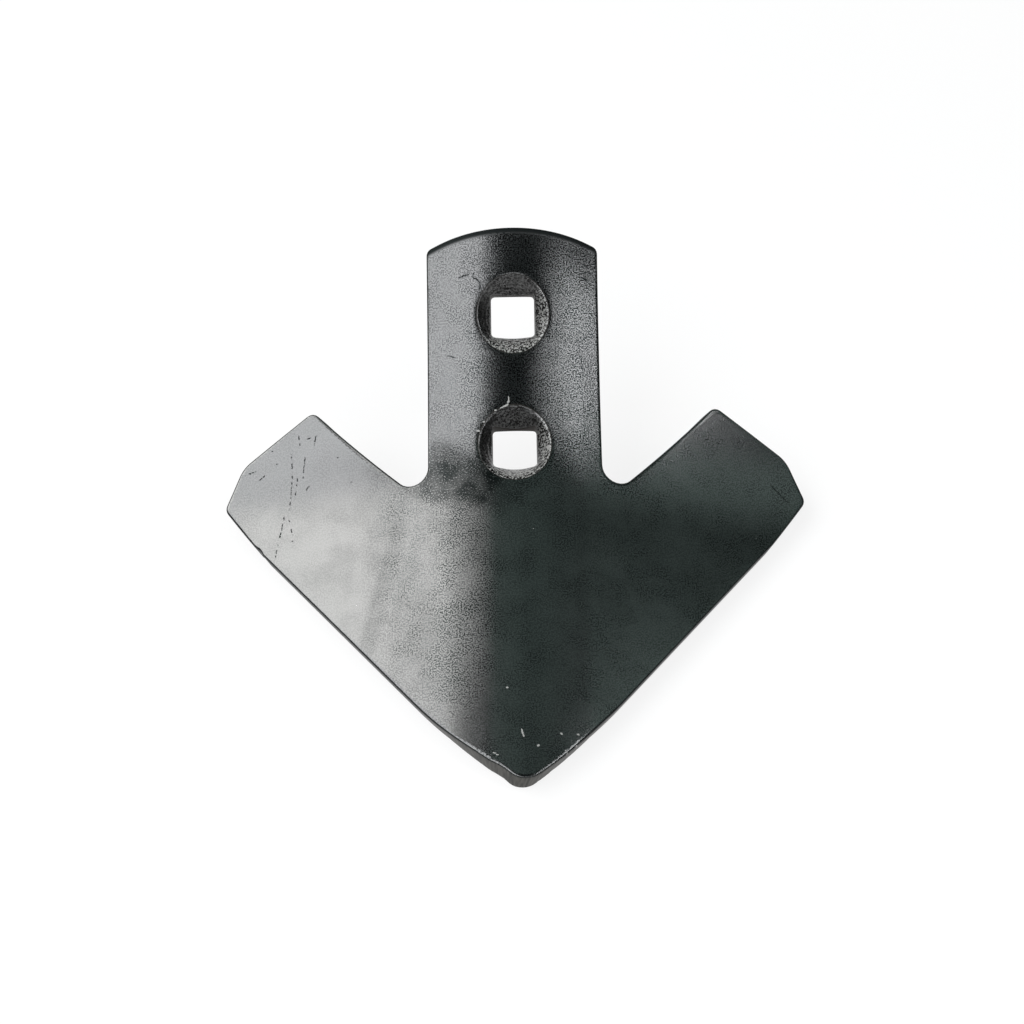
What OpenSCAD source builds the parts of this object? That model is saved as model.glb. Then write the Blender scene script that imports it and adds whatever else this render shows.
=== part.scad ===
// Cultivator sweep: one steel plate, cut to a flat blank, then pressed along its
// ridge and bent up into a tang with two square bolt holes.
// Blank coordinates: u runs across from the ridge, s runs along the ridge from the
// point where the straight cutting edges would meet, and w stands off the upper face.
// The part lies as it comes to rest: nose towards -Y, cutting edges on Z = 0.

/* [Plate] */
// Thickness of the steel plate
plate_t = 6; // [4:0.5:9]
// Radius of the pressed crown along the ridge, on the upper face
crown_r = 60; // [45:1:80]
// Downward slope of the flanks beside the crown, in degrees
flank_slope = 18; // [12:1:24]

/* [Nose and cutting edges] */
// Angle of each cutting edge from the ridge in the flat blank, in degrees
edge_angle = 40; // [36:0.5:44]
// Distance from the meeting point of the straight edges to that of the nose arcs
nose_trim = 7.8; // [5:0.2:10]
// Length of straight edge that each nose arc takes the place of
nose_blend = 42; // [34:1:56]
// Radius of the worn nose tip
nose_tip_r = 6; // [2:0.5:9]

/* [Wings] */
// Width over the wing tips
wing_span = 152; // [136:1:170]
// Length of the short edge at the end of each wing
wing_end_l = 11; // [8:0.5:16]
// Lean of that edge towards the ridge, in degrees
wing_end_lean = 26; // [15:1:35]
// Length of the edge from the wing end back to the trailing corner
shoulder_l = 23; // [16:0.5:28]
// Rise of that edge from the crosswise direction, in degrees
shoulder_rise = 31; // [22:1:36]
// Fall of the trailing edge towards the tang, in degrees
trailing_fall = 42; // [38:1:46]
// Radius of the leading corner of the wing tip
tip_r = 2; // [1:0.5:4]
// Radius between the wing end and the shoulder
knuckle_r = 8; // [3:0.5:12]
// Radius of the trailing corner
trailing_r = 2.5; // [1:0.5:5]
// Radius of the notch between tang and wing
notch_r = 4.5; // [3:0.25:6]

/* [Tang] */
// Ridge length up to the start of the tang's bend
body_l = 83; // [76:1:88]
// Radius of the tang's bend, on the upper face
bend_r = 135; // [110:1:180]
// Ridge length up to the end of the tang
blank_l = 160; // [152:1:172]
// Width of the tang in the flat blank
tang_w = 46; // [38:1:52]
// Radius of the rounded end of the tang
tang_end_r = 52; // [36:1:80]
// Radius of the two corners of the tang's end
tang_corner_r = 2; // [1:0.5:5]

/* [Bolt holes] */
// Ridge length up to the centre of the lower hole
lower_hole = 102.4; // [98:0.2:106]
// Distance between the holes, along the ridge
hole_pitch = 35; // [28:0.5:40]
// Side of the square holes
hole_side = 11.3; // [9:0.1:13]
// Radius in the corners of the square holes
hole_corner_r = 1; // [0.5:0.1:2]
// Width of the countersinks, across the crowned face
sink_d = 18.2; // [16:0.1:22]
// Full angle of the countersinks, in degrees
sink_angle = 90; // [80:1:100]

/* [Hidden] */
$fn = 180;

// Turn of one millimetre of arc on a radius of one millimetre, in degrees
RADIAN = 180 / PI;
// Steps along each rounded corner, and along each long arc
CORNER_STEPS = 5;
ARC_STEPS = 8;
// Rows of the cutting shell along the body and along the tang
BODY_ROWS = 4;
TANG_ROWS = 5;
// How far the cutting shell stands off both faces of the plate
SHELL_MARGIN = 2;
// Flat left at the very tip of each wing's round
TIP_FLAT = 0.05;
// Columns of the cutting shell closer than this are one
COLUMN_GAP = 0.01;

crown_u = crown_r * flank_slope / RADIAN;
crown_x = crown_r * sin(flank_slope);
tang_half = tang_w / 2;

// Plane helpers
function unit(v) = v / norm(v);
function turned(v, a) = [v[0] * cos(a) - v[1] * sin(a), v[0] * sin(a) + v[1] * cos(a)];
function heading(a) = [cos(a), sin(a)];
function arc(centre, r, from, to, steps) =
    [for (i = [0:steps]) centre + r * heading(from + (to - from) * i / steps)];

// Arc of radius r that rounds corner b between its neighbours a and c
function rounded(a, b, c, r) =
    let (
        p = unit(a - b),
        q = unit(c - b),
        half = acos(p * q) / 2,
        centre = b + unit(p + q) * r / sin(half),
        spoke = b + p * r / tan(half) - centre,
        sweep_angle = (180 - 2 * half) * sign(cross(q, p))
    )
    [for (i = [0:CORNER_STEPS]) centre + turned(spoke, sweep_angle * i / CORNER_STEPS)];

// Sorted copy of a list of numbers, with near repeats left out
function sorted(v) =
    len(v) < 2 ? v : let (pivot = v[floor(len(v) / 2)])
    concat(
        sorted([for (x = v) if (x < pivot - COLUMN_GAP) x]),
        [pivot],
        sorted([for (x = v) if (x > pivot + COLUMN_GAP) x])
    );

// Bend map from blank coordinates to the pressed plate, with the ridge along +Y
function crown_angle(u) = sign(u) * min(abs(u) / crown_r * RADIAN, flank_slope);
function flat_reach(u) = max(0, abs(u) - crown_u);
function across(u, w) =
    let (a = crown_angle(u))
    (crown_r + w) * sin(a) + sign(u) * flat_reach(u) * cos(a);
function height(u, w) =
    let (a = abs(crown_angle(u)))
    (crown_r + w) * cos(a) - crown_r - flat_reach(u) * sin(a);
function tang_angle(s) = max(0, s - body_l) / bend_r * RADIAN;
function pressed(u, s, w) =
    let (a = tang_angle(s), h = height(u, w))
    [across(u, w), min(s, body_l) + (bend_r - h) * sin(a), bend_r - (bend_r - h) * cos(a)];

// Nose: two arcs that run on from the straight edges, with a round tip between them
edge_way = [sin(edge_angle), cos(edge_angle)];
edge_normal = turned(edge_way, 90);
blend_start = nose_blend * edge_way;
nose_point = [0, nose_trim];
nose_arc_r = norm(blend_start - nose_point) ^ 2 / (2 * nose_trim * sin(edge_angle));
nose_centre = blend_start + nose_arc_r * edge_normal;
tip_centre = [0, nose_centre[1] - sqrt((nose_arc_r - nose_tip_r) ^ 2 - nose_centre[0] ^ 2)];
tip_way = atan2(tip_centre[1] - nose_centre[1], tip_centre[0] - nose_centre[0]);
nose_s = tip_centre[1] - nose_tip_r;

// Wing: corners from the cutting edge round to the notch
tip_u = crown_u + (wing_span / 2 - crown_x) / cos(flank_slope) + TIP_FLAT;
tip_round = [
    tip_u - tip_r,
    (tip_r + (tip_u - tip_r) * cos(edge_angle)) / sin(edge_angle)
];
end_normal = heading(wing_end_lean);
end_way = turned(end_normal, 90);
end_touch = tip_round + tip_r * end_normal;
tip_corner = end_touch - (end_touch * edge_normal) / (end_way * edge_normal) * end_way;
knuckle = tip_corner + wing_end_l * end_way;
trailing_corner = knuckle + shoulder_l * [-cos(shoulder_rise), sin(shoulder_rise)];
notch_fall = (trailing_corner[0] - tang_half) * tan(trailing_fall);
notch_corner = [tang_half, trailing_corner[1] - notch_fall];
tang_side = [tang_half, blank_l];

tip_path = rounded(blend_start, tip_corner, knuckle, tip_r);
knuckle_path = rounded(tip_corner, knuckle, trailing_corner, knuckle_r);
trailing_path = rounded(knuckle, trailing_corner, notch_corner, trailing_r);
notch_path = rounded(trailing_corner, notch_corner, tang_side, notch_r);
neck_s = notch_path[CORNER_STEPS][1];

// Outlines as tables of s over u: cutting edge, rear edge of the wing and end of the tang
cutting_edge = concat(
    arc(tip_centre, nose_tip_r, -90, tip_way, CORNER_STEPS),
    arc(nose_centre, nose_arc_r, tip_way, -edge_angle, ARC_STEPS),
    [for (p = tip_path) if (p[1] <= tip_round[1]) p]
);
rear_edge = concat(
    notch_path,
    trailing_path,
    knuckle_path,
    [for (p = tip_path) if (p[1] >= tip_round[1]) p]
);
end_centre = [0, blank_l - tang_end_r];
corner_u = tang_half - tang_corner_r;
corner_centre = [corner_u, end_centre[1] + sqrt((tang_end_r - tang_corner_r) ^ 2 - corner_u ^ 2)];
corner_way = atan2(corner_centre[1] - end_centre[1], corner_u);
tang_end = concat(
    arc(end_centre, tang_end_r, 90, corner_way, ARC_STEPS),
    arc(corner_centre, tang_corner_r, corner_way, 0, CORNER_STEPS)
);

// Pose: at rest on the nose tip and on the cutting edges where the wings begin to lift
nose_foot = pressed(0, nose_s, -plate_t);
edge_foot = pressed(body_l * tan(edge_angle), body_l, -plate_t);
pitch = atan2(nose_foot[2] - edge_foot[2], edge_foot[1] - nose_foot[1]);
function tilted_y(p) = p[1] * cos(pitch) - p[2] * sin(pitch);
function tilted_z(p) = p[1] * sin(pitch) + p[2] * cos(pitch);
front_y = tilted_y(pressed(0, nose_s, 0));
rear_y = tilted_y(pressed(0, blank_l, -plate_t));
floor_z = tilted_z(nose_foot);

module at_rest() {
    translate([0, -(front_y + rear_y) / 2, -floor_z])
        rotate([pitch, 0, 0])
            children();
}

// All that lies under a crown of radius r and its two flanks, down to a depth below its axis
module under_crown(r, flank_l, depth) {
    wedge_x = r * tan(2 * flank_slope);
    intersection() {
        circle(r);
        polygon([[0, 0], [wedge_x, r], [-wedge_x, r]]);
    }
    for (side = [0, 1])
        mirror([side, 0])
            rotate(-flank_slope)
                translate([0, -depth])
                    square([flank_l, r + depth]);
}

// Section of the plate across the ridge, set off from the axis of the tang's bend
module plate_section() {
    flank_l = tip_u - crown_u + plate_t;
    translate([bend_r, 0])
        rotate(90)
            translate([0, -crown_r])
                difference() {
                    under_crown(crown_r, flank_l, 0);
                    under_crown(crown_r - plate_t, flank_l + plate_t, plate_t);
                }
}

// The pressed plate before its outline is cut: a straight body that runs on into a bent tang
module pressed_plate() {
    translate([0, body_l, bend_r])
        rotate([0, 90, 0]) {
            rotate([90, 0, 0])
                linear_extrude(body_l)
                    plate_section();
            rotate_extrude(angle = tang_angle(blank_l + plate_t))
                plate_section();
        }
}

// Shell with the blank's outline, square to the plate everywhere, a little thicker than it
module blank_shell() {
    half_columns = sorted([
        for (p = concat(cutting_edge, rear_edge, tang_end, [[tang_half, 0]]))
            min(p[0], tip_u - TIP_FLAT)
    ]);
    half_count = len(half_columns) - 1;
    columns = concat(
        [for (i = [half_count:-1:1]) -half_columns[i]],
        half_columns
    );
    last = len(columns) - 1;
    tang_first = len([for (u = columns) if (u < -tang_half - COLUMN_GAP) u]);
    tang_last = last - tang_first;

    function in_tang(u) = abs(u) <= tang_half + COLUMN_GAP;
    function front_s(u) = lookup(abs(u), cutting_edge);
    function rear_s(u) = in_tang(u) ? neck_s : lookup(abs(u), rear_edge);
    function end_s(u) = lookup(abs(u), tang_end);
    function body_s(u, i) = front_s(u) + (rear_s(u) - front_s(u)) * i / BODY_ROWS;
    function tang_s(u, i) = neck_s + (end_s(u) - neck_s) * i / TANG_ROWS;

    blank_points = concat(
        [for (u = columns) for (i = [0:BODY_ROWS]) [u, body_s(u, i)]],
        [
            for (j = [tang_first:tang_last]) for (i = [1:TANG_ROWS])
                [columns[j], tang_s(columns[j], i)]
        ]
    );
    count = len(blank_points);
    tang_base = (last + 1) * (BODY_ROWS + 1);
    function body_at(j, i) = j * (BODY_ROWS + 1) + i;
    function tang_at(j, i) =
        i == 0 ? body_at(j, BODY_ROWS) : tang_base + (j - tang_first) * TANG_ROWS + i - 1;

    cells = concat(
        [
            for (j = [0:last - 1]) for (i = [0:BODY_ROWS - 1])
                [body_at(j, i), body_at(j + 1, i), body_at(j + 1, i + 1), body_at(j, i + 1)]
        ],
        [
            for (j = [tang_first:tang_last - 1]) for (i = [0:TANG_ROWS - 1])
                [tang_at(j, i), tang_at(j + 1, i), tang_at(j + 1, i + 1), tang_at(j, i + 1)]
        ]
    );
    rim = concat(
        [for (j = [0:last]) body_at(j, 0)],
        [for (i = [1:BODY_ROWS]) body_at(last, i)],
        [for (j = [last - 1:-1:tang_last]) body_at(j, BODY_ROWS)],
        [for (i = [1:TANG_ROWS]) tang_at(tang_last, i)],
        [for (j = [tang_last - 1:-1:tang_first]) tang_at(j, TANG_ROWS)],
        [for (i = [TANG_ROWS - 1:-1:0]) tang_at(tang_first, i)],
        [for (j = [tang_first - 1:-1:0]) body_at(j, BODY_ROWS)],
        [for (i = [BODY_ROWS - 1:-1:1]) body_at(0, i)]
    );
    function next(k) = rim[(k + 1) % len(rim)];
    under = [count, count, count];

    polyhedron(
        points = concat(
            [for (p = blank_points) pressed(p[0], p[1], SHELL_MARGIN)],
            [for (p = blank_points) pressed(p[0], p[1], -plate_t - SHELL_MARGIN)]
        ),
        faces = concat(
            [for (c = cells) each [[c[2], c[1], c[0]], [c[3], c[2], c[0]]]],
            [for (c = cells) each [[c[0], c[1], c[2]] + under, [c[0], c[2], c[3]] + under]],
            [
                for (k = [0:len(rim) - 1]) each [
                    [rim[k], next(k), next(k) + count],
                    [rim[k], next(k) + count, rim[k] + count]
                ]
            ]
        )
    );
}

// Square hole with rounded corners
module hole_outline() {
    inner = hole_side - 2 * hole_corner_r;
    square([inner, hole_side], center = true);
    square([hole_side, inner], center = true);
    for (x = [-1, 1])
        for (y = [-1, 1])
            translate([x, y] * inner / 2)
                circle(hole_corner_r, $fn = 32);
}

// Countersunk square hole, cut square to the tang at ridge length s
module bolt_hole(s) {
    reach = plate_t + SHELL_MARGIN;
    sink_depth = sink_d / 2 / tan(sink_angle / 2);
    sink_rim = crown_r - sqrt(crown_r ^ 2 - (sink_d / 2) ^ 2);
    sink_top_r = (sink_depth + sink_rim + SHELL_MARGIN) * tan(sink_angle / 2);
    translate(pressed(0, s, 0))
        rotate([tang_angle(s), 0, 0]) {
            translate([0, 0, -reach])
                linear_extrude(reach + SHELL_MARGIN)
                    hole_outline();
            translate([0, 0, -sink_rim - sink_depth])
                cylinder(h = sink_depth + sink_rim + SHELL_MARGIN, r1 = 0, r2 = sink_top_r);
        }
}

module sweep() {
    color([0.13, 0.15, 0.15])
        at_rest()
            difference() {
                intersection() {
                    pressed_plate();
                    blank_shell();
                }
                for (i = [0, 1])
                    bolt_hole(lower_hole + i * hole_pitch);
            }
}

sweep();
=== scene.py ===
"""Looks of the cultivator sweep: one pressed steel plate, painted black, on a pale floor.

Blank coordinates are in millimetres. u runs across from the ridge, s runs along the ridge from
the point where the straight cutting edges would meet, and w stands off the upper face.
"""

import logging
import math
from collections.abc import Callable
from dataclasses import dataclass, field
from enum import Enum
from functools import reduce
from typing import Any

import bmesh
import bpy
from bmesh.types import BMEdge, BMesh, BMFace, BMVert
from mathutils import Matrix, Vector, noise


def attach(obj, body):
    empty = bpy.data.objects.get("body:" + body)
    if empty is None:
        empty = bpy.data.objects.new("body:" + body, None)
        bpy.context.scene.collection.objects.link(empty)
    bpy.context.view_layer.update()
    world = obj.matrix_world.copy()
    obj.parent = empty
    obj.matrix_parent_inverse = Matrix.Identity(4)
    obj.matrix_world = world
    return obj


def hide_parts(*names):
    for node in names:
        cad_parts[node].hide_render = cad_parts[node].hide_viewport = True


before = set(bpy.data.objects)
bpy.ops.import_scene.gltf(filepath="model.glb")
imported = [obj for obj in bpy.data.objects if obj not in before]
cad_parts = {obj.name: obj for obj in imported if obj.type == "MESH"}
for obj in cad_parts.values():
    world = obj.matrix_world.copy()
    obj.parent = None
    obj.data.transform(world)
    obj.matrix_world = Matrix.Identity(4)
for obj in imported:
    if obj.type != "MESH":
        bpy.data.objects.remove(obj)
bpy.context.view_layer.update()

LOG = logging.getLogger("sweep")
MM = 0.001
UP = Vector((0.0, 0.0, 1.0))
WARM = (1.0, 1.0, 0.98)
COOL = (0.97, 0.985, 1.0)
GREENISH = (0.74, 1.0, 0.91)
WHITE = (1.0, 1.0, 1.0, 1.0)

# Watts of an area light for each square metre at a radiance of 1
LIGHT_W = 4.0

# Gaps in millimetres within which points count as one
MIRROR_GAP = 0.01
SLICE_GAP = 0.04
WELD_GAP = 0.002

Span = tuple[float, float]
Place = tuple[float, float]
Stroke = tuple[Place, Place]
Colour = tuple[float, float, float]


class Layer(Enum):
    """Names of the values that the plate's mesh carries for its paint."""

    BLANK = "blank"
    CUT_EDGE = "cut_edge"
    BOLT_SEAT = "bolt_seat"


class SeatWall(Enum):
    """Walls of a bolt seat, with the values that their points carry."""

    FACE = 0.0
    BORE = 0.5
    CONE = 1.0


@dataclass(frozen=True)
class SweepSizes:
    """Driving sizes of the sweep, in millimetres and degrees."""

    plate_t: float = 6.0
    crown_r: float = 60.0
    flank_slope: float = 18.0
    edge_angle: float = 40.0
    nose_trim: float = 7.8
    nose_blend: float = 42.0
    nose_tip_r: float = 6.0
    wing_span: float = 152.0
    wing_end_l: float = 11.0
    wing_end_lean: float = 26.0
    shoulder_l: float = 23.0
    shoulder_rise: float = 31.0
    trailing_fall: float = 42.0
    tip_r: float = 2.0
    knuckle_r: float = 8.0
    trailing_r: float = 2.5
    notch_r: float = 4.5
    body_l: float = 83.0
    bend_r: float = 135.0
    blank_l: float = 160.0
    tang_w: float = 46.0
    tang_end_r: float = 52.0
    tang_corner_r: float = 2.0
    lower_hole: float = 102.4
    hole_pitch: float = 35.0
    hole_side: float = 11.3
    hole_corner_r: float = 1.0
    sink_d: float = 18.2


def heading(angle: float) -> Vector:
    """Unit vector at an angle in radians from the u direction."""
    return Vector((math.cos(angle), math.sin(angle)))


def clamp(value: float, low: float = 0.0, high: float = 1.0) -> float:
    """Value held between two limits."""
    return min(max(value, low), high)


def ease(share: float) -> float:
    """Smooth step from 0 to 1 as a share goes from 0 to 1."""
    share = clamp(share)
    return share * share * (3.0 - 2.0 * share)


def swell(away: float) -> float:
    """Smooth swell: 1 in its middle, falling to 0 at a distance of 1."""
    return max(0.0, 1.0 - away**2) ** 2


def add_object(name: str, data: bpy.types.ID) -> bpy.types.Object:
    """Adds an object to the scene.

    Args:
        name: Name of the object.
        data: Its mesh, light or camera.

    Returns:
        The object.
    """
    item = bpy.data.objects.new(name, data)
    bpy.context.scene.collection.objects.link(item)
    return item


def add_piece(name: str, mesh: BMesh) -> bpy.types.Object:
    """Adds a modelled piece to the scene.

    Args:
        name: Name of the piece.
        mesh: Its shape, which is freed.

    Returns:
        The piece.
    """
    data = bpy.data.meshes.new(name)
    mesh.to_mesh(data)
    mesh.free()
    return add_object(name, data)


def whole(mesh: BMesh) -> list[BMVert | BMEdge | BMFace]:
    """All points, edges and faces of a mesh."""
    return mesh.verts[:] + mesh.edges[:] + mesh.faces[:]


def grow(mesh: BMesh, edges: list[BMEdge]) -> tuple[list[BMEdge], list[BMVert]]:
    """Extrudes a row of edges in place.

    Args:
        mesh: Mesh that holds the edges.
        edges: The row.

    Returns:
        The edges and the points of the new row.
    """
    grown = bmesh.ops.extrude_edge_only(mesh, edges=edges)["geom"]
    points = [item for item in grown if isinstance(item, BMVert)]
    return [item for item in grown if isinstance(item, BMEdge)], points


class Pencil:
    """Draws a wire in the plane of the blank, one stroke after another."""

    LEAST_ARC_STEPS: int = 4

    def __init__(self, mesh: BMesh, start: Vector, step: float) -> None:
        """Sets the pencil down.

        Args:
            mesh: Mesh that takes the wire.
            start: First point of the wire.
            step: Usual length of one edge.
        """
        self.mesh = mesh
        self.step = step
        self.tip = bmesh.ops.create_vert(mesh, co=start.to_3d())["vert"][0]

    def line(self, end: Vector) -> None:
        """Draws straight to a point.

        Args:
            end: Point where the stroke ends.
        """
        reach = end.to_3d() - self.tip.co
        steps = max(1, round(reach.length / self.step))
        drawn = bmesh.ops.spin(
            self.mesh, geom=[self.tip], cent=end.to_3d(), axis=UP, dvec=reach / steps, steps=steps
        )
        self.tip = drawn["geom_last"][0]

    def arc(self, centre: Vector, angle: float) -> None:
        """Draws round a centre.

        Args:
            centre: Centre of the arc.
            angle: Turn in radians, positive where it runs anticlockwise.
        """
        radius = (self.tip.co.xy - centre).length
        steps = max(self.LEAST_ARC_STEPS, round(abs(angle) * radius / self.step))
        drawn = bmesh.ops.spin(
            self.mesh, geom=[self.tip], cent=centre.to_3d(), axis=UP, angle=angle, steps=steps
        )
        self.tip = drawn["geom_last"][0]

    def corner(self, corner: Vector, onward: Vector, radius: float) -> None:
        """Draws towards a corner and round it.

        Args:
            corner: Sharp corner that the arc takes the place of.
            onward: A point on the edge that leaves the corner.
            radius: Radius of the arc.
        """
        back = (self.tip.co.xy - corner).normalized()
        away = (onward - corner).normalized()
        half = back.angle(away) / 2
        centre = corner + (back + away).normalized() * radius / math.sin(half)
        self.line(corner + back * radius / math.tan(half))
        self.arc(centre, math.copysign(math.pi - 2 * half, away.cross(back)))


@dataclass(frozen=True)
class Press:
    """Bend of the flat blank into the pressed plate, and the way that the plate lies at rest."""

    sizes: SweepSizes

    def place(self, u: float, s: float, w: float) -> Vector:
        """Carries a point of the blank to the pressed plate.

        Args:
            u: Place across the blank.
            s: Place along the ridge.
            w: Height off the upper face.

        Returns:
            The point in millimetres, with the ridge of the body along +Y.
        """
        sizes = self.sizes
        lean = min(abs(u) / sizes.crown_r, math.radians(sizes.flank_slope))
        flat = abs(u) - sizes.crown_r * lean
        across = (sizes.crown_r + w) * math.sin(lean) + flat * math.cos(lean)
        height = (sizes.crown_r + w) * math.cos(lean) - sizes.crown_r - flat * math.sin(lean)
        turn = self.tang_turn(s)
        arm = sizes.bend_r - height
        along = min(s, sizes.body_l) + arm * math.sin(turn)
        return Vector((math.copysign(across, u), along, sizes.bend_r - arm * math.cos(turn)))

    def flatten(self, point: Vector) -> Vector:
        """Carries a point of the tang's crown back to the blank.

        Args:
            point: The point in millimetres, with the ridge of the body along +Y.

        Returns:
            Its blank coordinates u, s and w.
        """
        sizes = self.sizes
        along = point.y - sizes.body_l
        rise = sizes.bend_r - point.z
        s = sizes.body_l + sizes.bend_r * math.atan2(along, rise)
        height = sizes.bend_r - math.hypot(along, rise)
        u = sizes.crown_r * math.atan2(point.x, sizes.crown_r + height)
        return Vector((u, s, math.hypot(point.x, sizes.crown_r + height) - sizes.crown_r))

    def tang_turn(self, s: float) -> float:
        """Turn of the tang at a place along the ridge, in radians."""
        return max(0.0, s - self.sizes.body_l) / self.sizes.bend_r

    def rest(self, nose_s: float) -> Matrix:
        """Works out how the plate lies on its nose and its cutting edges.

        Args:
            nose_s: Place of the nose tip along the ridge.

        Returns:
            Matrix from the pressed plate in millimetres to the frame in metres.
        """
        sizes = self.sizes
        nose_foot = self.place(0, nose_s, -sizes.plate_t)
        edge_u = sizes.body_l * math.tan(math.radians(sizes.edge_angle))
        edge_foot = self.place(edge_u, sizes.body_l, -sizes.plate_t)
        pitch = math.atan2(nose_foot.z - edge_foot.z, edge_foot.y - nose_foot.y)
        turn = Matrix.Rotation(pitch, 4, "X")
        front = (turn @ self.place(0, nose_s, 0)).y
        rear = (turn @ self.place(0, sizes.blank_l, -sizes.plate_t)).y
        shift = Vector((0, -(front + rear) / 2, -(turn @ nose_foot).z))
        return Matrix.Scale(MM, 4) @ Matrix.Translation(shift) @ turn


class BlankOutline:
    """Outline of the flat blank, from the nose round a wing to the end of the tang."""

    def __init__(self, sizes: SweepSizes) -> None:
        """Works out the corners and centres of the outline.

        Args:
            sizes: Driving sizes of the sweep.
        """
        self.sizes = sizes
        edge = math.radians(sizes.edge_angle)
        slope = math.radians(sizes.flank_slope)
        self.edge_way = Vector((math.sin(edge), math.cos(edge)))
        edge_normal = self.edge_way.orthogonal()
        self.blend = sizes.nose_blend * self.edge_way
        nose_point = Vector((0, sizes.nose_trim))
        span = (self.blend - nose_point).length_squared
        self.nose_r = span / (2 * sizes.nose_trim * math.sin(edge))
        self.nose_centre = self.blend + self.nose_r * edge_normal
        reach = math.sqrt((self.nose_r - sizes.nose_tip_r) ** 2 - self.nose_centre.x**2)
        self.tip_centre = Vector((0, self.nose_centre.y - reach))
        self.nose_s = self.tip_centre.y - sizes.nose_tip_r

        crown_u = sizes.crown_r * slope
        crown_x = sizes.crown_r * math.sin(slope)
        tip_u = crown_u + (sizes.wing_span / 2 - crown_x) / math.cos(slope)
        round_u = tip_u - sizes.tip_r
        round_s = (sizes.tip_r + round_u * math.cos(edge)) / math.sin(edge)
        end_normal = heading(math.radians(sizes.wing_end_lean))
        end_way = end_normal.orthogonal()
        touch = Vector((round_u, round_s)) + sizes.tip_r * end_normal
        self.wing_tip = touch - touch.dot(edge_normal) / end_way.dot(edge_normal) * end_way
        self.knuckle = self.wing_tip + sizes.wing_end_l * end_way
        rise = math.radians(sizes.shoulder_rise)
        self.trailing = self.knuckle + sizes.shoulder_l * heading(math.pi - rise)
        half = sizes.tang_w / 2
        fall = (self.trailing.x - half) * math.tan(math.radians(sizes.trailing_fall))
        self.notch = Vector((half, self.trailing.y - fall))

        self.end_centre = Vector((0, sizes.blank_l - sizes.tang_end_r))
        corner_u = half - sizes.tang_corner_r
        corner_rise = math.sqrt((sizes.tang_end_r - sizes.tang_corner_r) ** 2 - corner_u**2)
        self.corner_centre = self.end_centre + Vector((corner_u, corner_rise))
        self.corner_way = math.atan2(corner_rise, corner_u)

    def draw(self, mesh: BMesh, step: float) -> None:
        """Draws the outline as a closed wire and fills it with one face.

        Args:
            mesh: Empty mesh that takes the outline.
            step: Usual length of one edge.
        """
        sizes = self.sizes
        half = sizes.tang_w / 2
        spoke = self.tip_centre - self.nose_centre
        tip_way = math.atan2(spoke.y, spoke.x)
        pencil = Pencil(mesh, Vector((0, self.nose_s)), step)
        pencil.arc(self.tip_centre, tip_way + math.pi / 2)
        pencil.arc(self.nose_centre, -math.radians(sizes.edge_angle) - tip_way)
        pencil.corner(self.wing_tip, self.knuckle, sizes.tip_r)
        pencil.corner(self.knuckle, self.trailing, sizes.knuckle_r)
        pencil.corner(self.trailing, self.notch, sizes.trailing_r)
        pencil.corner(self.notch, Vector((half, sizes.blank_l)), sizes.notch_r)
        pencil.line(Vector((half, self.corner_centre.y)))
        pencil.arc(self.corner_centre, self.corner_way)
        pencil.arc(self.end_centre, math.pi / 2 - self.corner_way)
        bmesh.ops.mirror(mesh, geom=whole(mesh), axis="X", merge_dist=MIRROR_GAP)
        filled = bmesh.ops.contextual_create(mesh, geom=mesh.edges[:])
        bmesh.ops.recalc_face_normals(mesh, faces=filled["faces"])
        if filled["faces"][0].normal.z < 0:
            bmesh.ops.reverse_faces(mesh, faces=filled["faces"])


@dataclass(frozen=True)
class PressMark:
    """A shallow straight swell or trough that the press leaves, in blank millimetres."""

    start: Place
    end: Place
    half_w: float
    rise: float

    def height(self, place: Vector) -> float:
        """Works out how far the mark lifts the plate.

        Args:
            place: Blank point u and s.

        Returns:
            The rise there, which is negative in a trough.
        """
        along = Vector(self.end) - Vector(self.start)
        reach = place - Vector(self.start)
        share = clamp(reach.dot(along) / along.length_squared)
        return self.rise * swell((reach - share * along).length / self.half_w)


@dataclass(frozen=True)
class Nick:
    """A shallow hollow worn into the cutting edge, in blank millimetres."""

    place: Place
    half_l: float
    depth: float

    def bite(self, place: Vector) -> float:
        """Depth of the hollow at a blank point."""
        return self.depth * swell((place - Vector(self.place)).length / self.half_l)


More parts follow.
